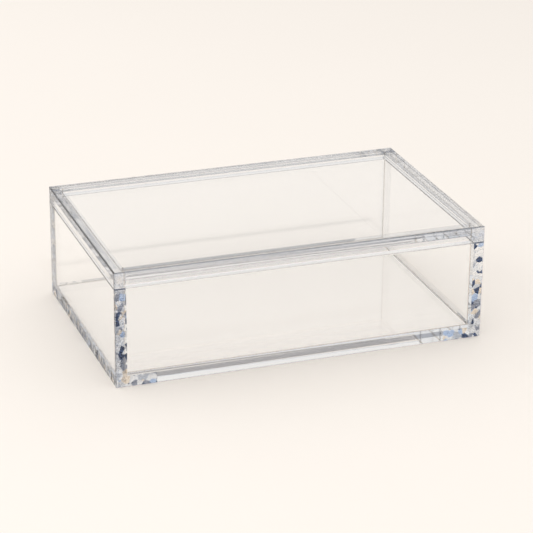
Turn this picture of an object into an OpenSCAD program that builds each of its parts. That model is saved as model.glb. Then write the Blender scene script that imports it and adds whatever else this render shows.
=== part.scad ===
// Clear acrylic storage box with a flush lift-off lid.
// The box is four upright walls standing on a full-size bottom panel.
// The lid is a flat panel let into a frame of four rails, flush on top,
// and the frame sits on the top edges of the walls.
// Origin: middle of the underside. +X right along the front, +Y towards the back, +Z up.

/* [Box] */
// Outside width, left to right
box_w = 200; // [120:1:320]
// Outside depth, front to back
box_d = 128; // [80:1:220]
// Height of the closed box, lid included
total_h = 62.5; // [40:0.5:140]

/* [Sheet] */
// Thickness of the bottom panel and the walls
sheet_t = 6; // [4:0.5:8]

/* [Lid] */
// Height of the lid's frame
lid_h = 8.7; // [8.2:0.1:14]
// Thickness of the panel let into the frame
lid_sheet_t = 6; // [3:0.5:7.5]
// Gap at the seam between the frame and the walls
seam_gap = 0.15; // [0.05:0.05:0.5]

/* [Polished edges] */
// Radius of the upright outside corners
corner_r = 1.0; // [0.5:0.1:2]
// Radius of the lid's top outside edges
top_r = 0.8; // [0.3:0.1:1.5]
// Radius of the bottom panel's lower edges
foot_r = 0.6; // [0.3:0.1:1.5]
// Radius of the edges that meet at the seam
seam_r = 0.4; // [0.2:0.05:0.8]

/* [Hidden] */
$fn = 32;
wall_top = total_h - lid_h - seam_gap;
rail_z = total_h - lid_h;
inner_w = box_w - 2 * sheet_t;
inner_d = box_d - 2 * sheet_t;
clear_col = [0.90, 0.93, 0.95, 0.45];
edge_col = [0.78, 0.83, 0.88, 0.60];

// Rectangle from (x0, y0) to (x1, y1) with its own radius at each corner:
// left-bottom, right-bottom, right-top, left-top. A radius of 0 leaves the corner square.
module soft_rect(x0, y0, x1, y1, r) {
    difference() {
        translate([x0, y0]) square([x1 - x0, y1 - y0]);
        if (r[0] > 0) translate([x0, y0]) corner_bite(r[0]);
        if (r[1] > 0) translate([x1, y0]) mirror([1, 0]) corner_bite(r[1]);
        if (r[2] > 0) translate([x1, y1]) mirror([1, 0]) mirror([0, 1]) corner_bite(r[2]);
        if (r[3] > 0) translate([x0, y1]) mirror([0, 1]) corner_bite(r[3]);
    }
}

// What a rounding of radius r takes away at a corner in the first quadrant
module corner_bite(r) {
    difference() {
        translate([-1, -1]) square([r + 1, r + 1]);
        translate([r, r]) circle(r);
    }
}

// Section drawn in X and Z, run along Y from y0 to y1
module run_y(y0, y1) translate([0, y1, 0]) rotate([90, 0, 0]) linear_extrude(y1 - y0) children();

// Section drawn in Y and Z, run along X from x0 to x1
module run_x(x0, x1) translate([x0, 0, 0]) rotate([90, 0, 90]) linear_extrude(x1 - x0) children();

// Outside plan of box and lid, from z0 to z1
module plan_block(z0, z1)
    translate([0, 0, z0]) linear_extrude(z1 - z0)
        soft_rect(-box_w / 2, -box_d / 2, box_w / 2, box_d / 2, [corner_r, corner_r, corner_r, corner_r]);

// Full-size bottom panel, its lower edges eased on all four sides
module bottom_panel() {
    color(clear_col) intersection() {
        plan_block(0, sheet_t);
        run_x(-box_w / 2 - 1, box_w / 2 + 1)
            soft_rect(-box_d / 2, 0, box_d / 2, sheet_t, [foot_r, foot_r, 0, 0]);
        run_y(-box_d / 2 - 1, box_d / 2 + 1)
            soft_rect(-box_w / 2, 0, box_w / 2, sheet_t, [foot_r, foot_r, 0, 0]);
    }
}

// Long wall between the side walls, at the front; the back wall is its mirror
module long_wall() {
    run_x(-inner_w / 2, inner_w / 2)
        soft_rect(-box_d / 2, sheet_t, -box_d / 2 + sheet_t, wall_top, [0, 0, seam_r, seam_r]);
}

// Side wall over the full depth, on the left; the right wall is its mirror
module side_wall() {
    intersection() {
        plan_block(sheet_t, wall_top);
        run_y(-box_d / 2 - 1, box_d / 2 + 1)
            soft_rect(-box_w / 2, sheet_t, -box_w / 2 + sheet_t, wall_top, [0, 0, seam_r, seam_r]);
        run_x(-box_w / 2 - 1, box_w / 2 + 1)
            soft_rect(-box_d / 2, sheet_t, box_d / 2, wall_top, [0, 0, seam_r, seam_r]);
    }
}

module front_wall() { color(edge_col) long_wall(); }
module back_wall() { color(edge_col) mirror([0, 1, 0]) long_wall(); }
module left_wall() { color(clear_col) side_wall(); }
module right_wall() { color(clear_col) mirror([1, 0, 0]) side_wall(); }

// Panel let into the lid's frame, flush with its top
module lid_panel() {
    color(clear_col) translate([-inner_w / 2, -inner_d / 2, total_h - lid_sheet_t])
        cube([inner_w, inner_d, lid_sheet_t]);
}

// Long rail of the lid's frame between the side rails, at the front
module long_rail() {
    run_x(-inner_w / 2, inner_w / 2)
        soft_rect(-box_d / 2, rail_z, -box_d / 2 + sheet_t, total_h, [seam_r, seam_r, 0, top_r]);
}

// Side rail of the lid's frame over the full depth, on the left
module side_rail() {
    intersection() {
        plan_block(rail_z, total_h);
        run_y(-box_d / 2 - 1, box_d / 2 + 1)
            soft_rect(-box_w / 2, rail_z, -box_w / 2 + sheet_t, total_h, [seam_r, seam_r, 0, top_r]);
        run_x(-box_w / 2 - 1, box_w / 2 + 1)
            soft_rect(-box_d / 2, rail_z, box_d / 2, total_h, [seam_r, seam_r, top_r, top_r]);
    }
}

module lid_front_rail() { color(edge_col) long_rail(); }
module lid_back_rail() { color(edge_col) mirror([0, 1, 0]) long_rail(); }
module lid_left_rail() { color(edge_col) side_rail(); }
module lid_right_rail() { color(edge_col) mirror([1, 0, 0]) side_rail(); }

bottom_panel();
front_wall();
back_wall();
left_wall();
right_wall();
lid_panel();
lid_front_rail();
lid_back_rail();
lid_left_rail();
lid_right_rail();
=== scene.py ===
import math

import bpy
from mathutils import Matrix, Vector

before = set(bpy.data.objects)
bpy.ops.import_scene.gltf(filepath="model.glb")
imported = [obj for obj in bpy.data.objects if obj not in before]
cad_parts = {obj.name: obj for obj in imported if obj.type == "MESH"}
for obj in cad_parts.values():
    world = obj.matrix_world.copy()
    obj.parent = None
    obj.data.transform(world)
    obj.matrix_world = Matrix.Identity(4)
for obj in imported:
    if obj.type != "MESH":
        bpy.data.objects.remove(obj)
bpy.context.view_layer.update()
scene = bpy.context.scene

# Sizes of the object, in metres
H = 0.0625
T = 0.006
IX = 0.094
IY = 0.058
HALF_W = 0.100
HALF_D = 0.064
PANEL_Z = H - 0.006
EPS = 0.00002
RIM = 0.0005


def add_camera():
    """The photograph's viewpoint, for a square picture."""
    az, el, roll = math.radians(-19.641), math.radians(22.5935), math.radians(0.4766)
    yaw, pitch = math.radians(0.1124), math.radians(-0.1598)
    back = Vector((math.sin(az) * math.cos(el), -math.cos(az) * math.cos(el), math.sin(el)))
    at = Vector((0, 0, H / 2)) + back * 19.1331 * H
    fwd = -back
    right = fwd.cross(Vector((0, 0, 1))).normalized()
    up = right.cross(fwd)
    r1 = math.cos(roll) * right + math.sin(roll) * up
    u1 = -math.sin(roll) * right + math.cos(roll) * up
    f2 = math.cos(yaw) * fwd + math.sin(yaw) * r1
    r2 = -math.sin(yaw) * fwd + math.cos(yaw) * r1
    f3 = math.cos(pitch) * f2 + math.sin(pitch) * u1
    u3 = -math.sin(pitch) * f2 + math.cos(pitch) * u1
    data = bpy.data.cameras.new("camera")
    data.sensor_fit = "HORIZONTAL"
    data.sensor_width = 36
    data.lens = 2235.12 / 533 * 36
    data.clip_start = 0.01
    data.clip_end = 100
    cam = bpy.data.objects.new("camera", data)
    scene.collection.objects.link(cam)
    cam.matrix_world = Matrix(((r2.x, u3.x, -f3.x, at.x), (r2.y, u3.y, -f3.y, at.y), (r2.z, u3.z, -f3.z, at.z), (0, 0, 0, 1)))
    scene.camera = cam


class Graph:
    """Small helper that adds shader nodes and links them."""

    def __init__(self, tree):
        self.tree = tree

    def node(self, kind, **sockets):
        n = self.tree.nodes.new(kind)
        for name, value in sockets.items():
            n.inputs[name.replace("_", " ")].default_value = value
        return n

    def link(self, a, b):
        self.tree.links.new(a, b)

    def math(self, op, a, b=None, c=None):
        n = self.tree.nodes.new("ShaderNodeMath")
        n.operation = op
        for i, v in enumerate((a, b, c)):
            if v is None:
                continue
            if isinstance(v, (int, float)):
                n.inputs[i].default_value = v
            else:
                self.link(v, n.inputs[i])
        return n.outputs[0]

    def noise(self, coords, scale, detail=2.0, stretch=(1, 1, 1), rough=0.5):
        m = self.tree.nodes.new("ShaderNodeMapping")
        m.inputs["Scale"].default_value = stretch
        self.link(coords, m.inputs["Vector"])
        n = self.node("ShaderNodeTexNoise", Scale=scale, Detail=detail, Roughness=rough)
        self.link(m.outputs[0], n.inputs["Vector"])
        return n.outputs["Fac"]

    def ramp(self, fac, stops, steps=False):
        r = self.tree.nodes.new("ShaderNodeValToRGB")
        r.color_ramp.interpolation = "CONSTANT" if steps else "LINEAR"
        e = r.color_ramp.elements
        e[0].position, e[0].color = stops[0][0], (*stops[0][1], 1)
        e[1].position, e[1].color = stops[-1][0], (*stops[-1][1], 1)
        for p, c in stops[1:-1]:
            x = e.new(p)
            x.color = (*c, 1)
        self.link(fac, r.inputs["Fac"])
        return r.outputs[0]


def acrylic(name, joint_tint, base, shadow, sparkle, lid):
    """Clear cast acrylic. Where two pieces are cemented the faces let the view pass, faintly tinted, with a darker
    line of cement along the joint's rim. The sawn ends are wavy and chipped with small facets, coloured with painted
    glints. Painted shade bands and lines on the lid frame, the foot and the outer edges stand in for light seen
    through the sheet."""
    m = bpy.data.materials.new(name)
    m.use_nodes = True
    m.node_tree.nodes.clear()
    g = Graph(m.node_tree)
    coords = g.node("ShaderNodeTexCoord").outputs["Object"]
    sep = g.node("ShaderNodeSeparateXYZ")
    g.link(coords, sep.inputs[0])
    mul, gt, lt = (lambda a, b: g.math("MULTIPLY", a, b)), (lambda a, b: g.math("GREATER_THAN", a, b)), (lambda a, b: g.math("LESS_THAN", a, b))
    top = lambda a, b: g.math("MAXIMUM", a, b)
    ax = g.math("ABSOLUTE", sep.outputs["X"])
    ay = g.math("ABSOLUTE", sep.outputs["Y"])
    z = sep.outputs["Z"]
    on_t = g.math("COMPARE", z, T, EPS)
    on_x = g.math("COMPARE", ax, IX, EPS)
    on_y = g.math("COMPARE", ay, IY, EPS)
    past_x = gt(ax, IX - EPS)
    past_y = gt(ay, IY - EPS)
    high = gt(z, PANEL_Z - EPS)
    flat_joint = mul(on_t, top(past_x, past_y))
    corner_joint = mul(on_x, past_y)
    panel_joint = mul(top(on_x, on_y), high)
    joint = top(top(flat_joint, corner_joint), panel_joint)
    near_y = lt(ay, IY + RIM)
    rim = top(mul(flat_joint, mul(lt(ax, IX + RIM), near_y)), mul(corner_joint, near_y))
    rim = top(rim, mul(panel_joint, top(gt(z, H - 0.0004), lt(z, PANEL_Z + 0.0004))))
    # thin line of dried cement in the inside corners
    near_u = g.math("COMPARE", ax, IX - RIM / 2, RIM / 2 + EPS)
    near_v = g.math("COMPARE", ay, IY - RIM / 2, RIM / 2 + EPS)
    near_w = g.math("COMPARE", z, T + RIM / 2, RIM / 2 + EPS)
    inside = mul(mul(lt(ax, IX + EPS), lt(ay, IY + EPS)), gt(z, T - EPS))
    bead = mul(inside, top(mul(near_u, near_v), top(mul(near_u, near_w), mul(near_v, near_w))))
    # sawn ends of the side walls, and the foot near the corners and along the sides
    end = mul(gt(ay, HALF_D - 0.0010), past_x)
    foot = mul(lt(z, T - EPS), top(gt(ax, HALF_W - 0.0008), gt(ay, HALF_D - 0.0008)))
    calm = mul(gt(sep.outputs["X"], 0.0), gt(sep.outputs["Y"], -0.040))
    # mask for the bump of the chipped facets and for the painted glints in the sawn ends' colour
    chips_and_glints = mul(mul(top(end, mul(foot, gt(ax, 0.0785))), sparkle), g.math("SUBTRACT", 1.0, calm))
    # small facets: cells of cut edge about 4 mm long, which shape the bump and pick the painted glint colours
    cells = m.node_tree.nodes.new("ShaderNodeTexVoronoi")
    cells.feature = "F1"
    cells.inputs["Scale"].default_value = 330
    cells.inputs["Randomness"].default_value = 0.9
    g.link(coords, cells.inputs["Vector"])
    facet = g.math("ADD", mul(cells.outputs["Distance"], 1.0), mul(g.noise(coords, 500, 2, (1, 1, 1.5)), 0.6))
    height = g.math("ADD", mul(mul(facet, chips_and_glints), 0.9), mul(g.noise(coords, 22, 1), 0.02))
    height = g.math("ADD", height, mul(mul(g.noise(coords, 60, 2, (0.3, 1, 1)), foot), 0.05))
    bump = g.node("ShaderNodeBump", Strength=1.0, Distance=0.001)
    g.link(height, bump.inputs["Height"])
    p = g.node("ShaderNodeBsdfPrincipled")
    p.inputs["Transmission Weight"].default_value = 1.0
    p.inputs["IOR"].default_value = 1.49
    tone = g.ramp(g.noise(coords, 12, 2), [(0.3, base), (0.7, tuple(min(1.0, c + 0.006) for c in base))])
    shade = m.node_tree.nodes.new("ShaderNodeSeparateColor")
    g.link(cells.outputs["Color"], shade.inputs[0])
    # painted glints: navy, grey, blue, white and pale orange cells stand in for reflections sparkling in the facets
    painted_glints = g.ramp(shade.outputs[0], [
        (0.0, (0.004, 0.010, 0.040)), (0.15, (0.14, 0.16, 0.22)), (0.30, (0.36, 0.40, 0.48)), (0.38, (0.30, 0.46, 0.82)),
        (0.45, (0.98, 0.99, 1.0)), (0.84, (0.62, 0.64, 0.68)), (0.92, (1.0, 0.76, 0.52))], True)

    def blend(fac, first, second):
        n = m.node_tree.nodes.new("ShaderNodeMix")
        n.data_type = "RGBA"
        g.link(fac, n.inputs[0])
        for socket, v in ((6, first), (7, second)):
            if isinstance(v, tuple):
                n.inputs[socket].default_value = (*v, 1)
            else:
                g.link(v, n.inputs[socket])
        return n.outputs[2]

    colour = blend(chips_and_glints, tone, painted_glints)
    if lid:
        # painted shade: a band and a line along the long outside faces, and a streaked band along the top, stand in
        # for the floor and backdrop seen through the frame's depth
        front = mul(gt(ay, HALF_D - 0.0006), lt(ax, 0.0925))
        painted_shade_band = mul(front, mul(gt(z, H - 0.0062), lt(z, H - 0.0036)))
        painted_shade_line = mul(front, g.math("COMPARE", z, H - 0.0019, 0.00028))
        inset = g.math("MINIMUM", g.math("SUBTRACT", HALF_W, ax), g.math("SUBTRACT", HALF_D, ay))
        painted_crown_shade = mul(mul(gt(inset, 0.0005), lt(inset, 0.0034)), mul(gt(z, H - 0.0008), gt(sep.outputs["Y"], -IY)))
        painted_streak = g.ramp(g.noise(coords, 260, 2, (1, 0.35, 1)), [(0.35, (0.50, 0.53, 0.60)), (0.6, (0.82, 0.84, 0.88))])
        colour = blend(painted_shade_band, colour, (0.80, 0.82, 0.86))
        colour = blend(painted_shade_line, colour, (0.45, 0.47, 0.52))
        colour = blend(painted_crown_shade, colour, painted_streak)
    else:
        # painted shade: a dark band along the upper part of the foot's outer edge
        painted_shade_band = mul(mul(foot, gt(z, 0.0034)), lt(ax, 0.0785))
        colour = blend(painted_shade_band, colour, (0.25, 0.27, 0.32))
    # painted shade: a dark line where outside faces meet stands in for the refraction of the rounded edge; also a dark
    # line at the seam on the ends of the side walls
    out_x, out_y, out_z = gt(ax, HALF_W - 0.0005), gt(ay, HALF_D - 0.0005), gt(z, H - 0.0005)
    painted_edge_shade = top(mul(out_x, out_y), mul(out_z, top(out_x, out_y)))
    colour = blend(painted_edge_shade, colour, (0.34, 0.36, 0.41))
    seam = mul(mul(gt(ay, HALF_D - 0.0012), past_x), g.math("COMPARE", z, 0.05372, 0.00045))
    colour = blend(seam, colour, (0.10, 0.12, 0.18))
    g.link(colour, p.inputs["Base Color"])
    rough = g.math("MULTIPLY_ADD", g.noise(coords, 1400, 3, (1, 1, 0.2)), 0.012, 0.0)
    g.link(rough, p.inputs["Roughness"])
    g.link(bump.outputs[0], p.inputs["Normal"])

    def through(colour_a, fac, under):
        t = g.node("ShaderNodeBsdfTransparent", Color=(*colour_a, 1))
        n = g.node("ShaderNodeMixShader")
        g.link(fac, n.inputs[0])
        g.link(under, n.inputs[1])
        g.link(t.outputs[0], n.inputs[2])
        return n.outputs[0]

    body = through(joint_tint, joint, p.outputs[0])
    body = through((0.80, 0.80, 0.80) if name.startswith("acrylic_lid") else (0.74, 0.72, 0.70), rim, body)
    body = through((0.80, 0.77, 0.74), bead, body)
    shaded = g.node("ShaderNodeLightPath").outputs["Is Shadow Ray"]
    body = through(shadow, shaded, body)
    far = top(mul(on_y, gt(sep.outputs["Y"], 0.0)), mul(on_x, gt(sep.outputs["X"], 0.0)))
    body = through((0.05, 0.04, 0.03), mul(shaded, mul(panel_joint, far)), body)
    out = g.node("ShaderNodeOutputMaterial")
    g.link(body, out.inputs["Surface"])
    return m


def floor_material():
    m = bpy.data.materials.new("studio_floor")
    m.use_nodes = True
    m.node_tree.nodes.clear()
    g = Graph(m.node_tree)
    coords = g.node("ShaderNodeTexCoord").outputs["Object"]
    colour = g.ramp(g.noise(coords, 3, 2), [(0.3, (0.885, 0.832, 0.775)), (0.7, (0.895, 0.842, 0.785))])
    p = g.node("ShaderNodeBsdfPrincipled", Roughness=1.0)
    p.inputs["Specular IOR Level"].default_value = 0.0
    g.link(colour, p.inputs["Base Color"])
    # painted light: the floor under the box glows by emission, a pool of light standing in for light that the clear
    # sheet gathers and lays under the box
    sep = g.node("ShaderNodeSeparateXYZ")
    g.link(coords, sep.inputs[0])
    under = g.math("MULTIPLY", g.math("LESS_THAN", g.math("ABSOLUTE", sep.outputs["X"]), HALF_W - 0.002),
                   g.math("LESS_THAN", g.math("ABSOLUTE", sep.outputs["Y"]), HALF_D - 0.002))
    p.inputs["Emission Color"].default_value = (1.0, 0.945, 0.89, 1)
    g.link(g.math("MULTIPLY", under, 0.24), p.inputs["Emission Strength"])
    out = g.node("ShaderNodeOutputMaterial")
    g.link(p.outputs[0], out.inputs["Surface"])
    return m


def add_floor():
    mesh = bpy.data.meshes.new("floor")
    s = 6.0
    mesh.from_pydata([(-s, -s, -0.00015), (s, -s, -0.00015), (s, s, -0.00015), (-s, s, -0.00015)], [], [(0, 1, 2, 3)])
    floor = bpy.data.objects.new("floor", mesh)
    scene.collection.objects.link(floor)
    mesh.materials.append(floor_material())


def add_world():
    """Bright studio: pale cream behind and above, dim grey-blue on the camera's side."""
    w = bpy.data.worlds.new("studio")
    scene.world = w
    w.use_nodes = True
    w.node_tree.nodes.clear()
    g = Graph(w.node_tree)
    coords = g.node("ShaderNodeTexCoord").outputs["Generated"]
    sep = g.node("ShaderNodeSeparateXYZ")
    g.link(coords, sep.inputs[0])
    back = g.ramp(sep.outputs["Z"], [(0.0, (0.80, 0.77, 0.74)), (0.25, (0.93, 0.90, 0.87)), (0.6, (0.98, 0.97, 0.96)), (1.0, (1.0, 1.0, 1.0))])
    front = g.ramp(sep.outputs["Z"], [(0.0, (0.30, 0.33, 0.38)), (0.30, (0.38, 0.41, 0.46)), (0.52, (0.80, 0.81, 0.83)), (0.75, (1.0, 1.0, 1.0))])
    side = g.node("ShaderNodeMapRange")
    side.interpolation_type = "SMOOTHSTEP"
    side.inputs["From Min"].default_value = -0.35
    side.inputs["From Max"].default_value = 0.15
    g.link(sep.outputs["Y"], side.inputs["Value"])
    mx = g.node("ShaderNodeMix")
    mx.data_type = "RGBA"
    g.link(side.outputs[0], mx.inputs[0])
    g.link(front, mx.inputs[6])
    g.link(back, mx.inputs[7])
    bg = g.node("ShaderNodeBackground")
    bg.inputs["Strength"].default_value = 0.91
    g.link(mx.outputs[2], bg.inputs["Color"])
    out = g.node("ShaderNodeOutputWorld")
    g.link(bg.outputs[0], out.inputs["Surface"])


def area(name, at, size, power, colour=(1, 1, 1)):
    d = bpy.data.lights.new(name, "AREA")
    d.energy = power
    d.size = size
    d.color = colour
    o = bpy.data.objects.new(name, d)
    scene.collection.objects.link(o)
    o.location = at
    o.visible_transmission = False
    o.visible_glossy = False
    o.rotation_euler = (Vector((0, 0, 0.02)) - Vector(at)).to_track_quat("-Z", "Y").to_euler()


def dress_nodes():
    """The CAD pieces keep their shape and get the finished acrylic."""
    sheet = acrylic("acrylic_sheet_clear", (0.955, 0.962, 0.972), (0.988, 0.992, 0.994), (0.990, 0.987, 0.984), 1.0, False)
    lid_sheet = acrylic("acrylic_lid_sheet_clear", (0.955, 0.962, 0.972), (0.988, 0.992, 0.994), (0.995, 0.994, 0.992), 0.0, False)
    rail = acrylic("acrylic_lid_rail_clear", (0.94, 0.948, 0.962), (0.984, 0.988, 0.992), (0.93, 0.92, 0.91), 0.25, True)
    for name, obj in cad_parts.items():
        mat = lid_sheet if name == "lid_panel" else rail if name.startswith("lid_") else sheet
        for s in obj.material_slots:
            s.material = mat


add_camera()
add_floor()
add_world()
area("key_left", (-1.2, 0.75, 1.15), 0.8, 6.5, (1.0, 0.985, 0.965))
area("key_front", (-0.24, -1.51, 2.10), 0.08, 15.0, (1.0, 0.985, 0.965))
dress_nodes()

scene.view_settings.view_transform = "Standard"
scene.cycles.max_bounces = 24
scene.cycles.transmission_bounces = 24
scene.cycles.glossy_bounces = 24
scene.cycles.transparent_max_bounces = 40
scene.cycles.caustics_reflective = False
scene.cycles.caustics_refractive = True
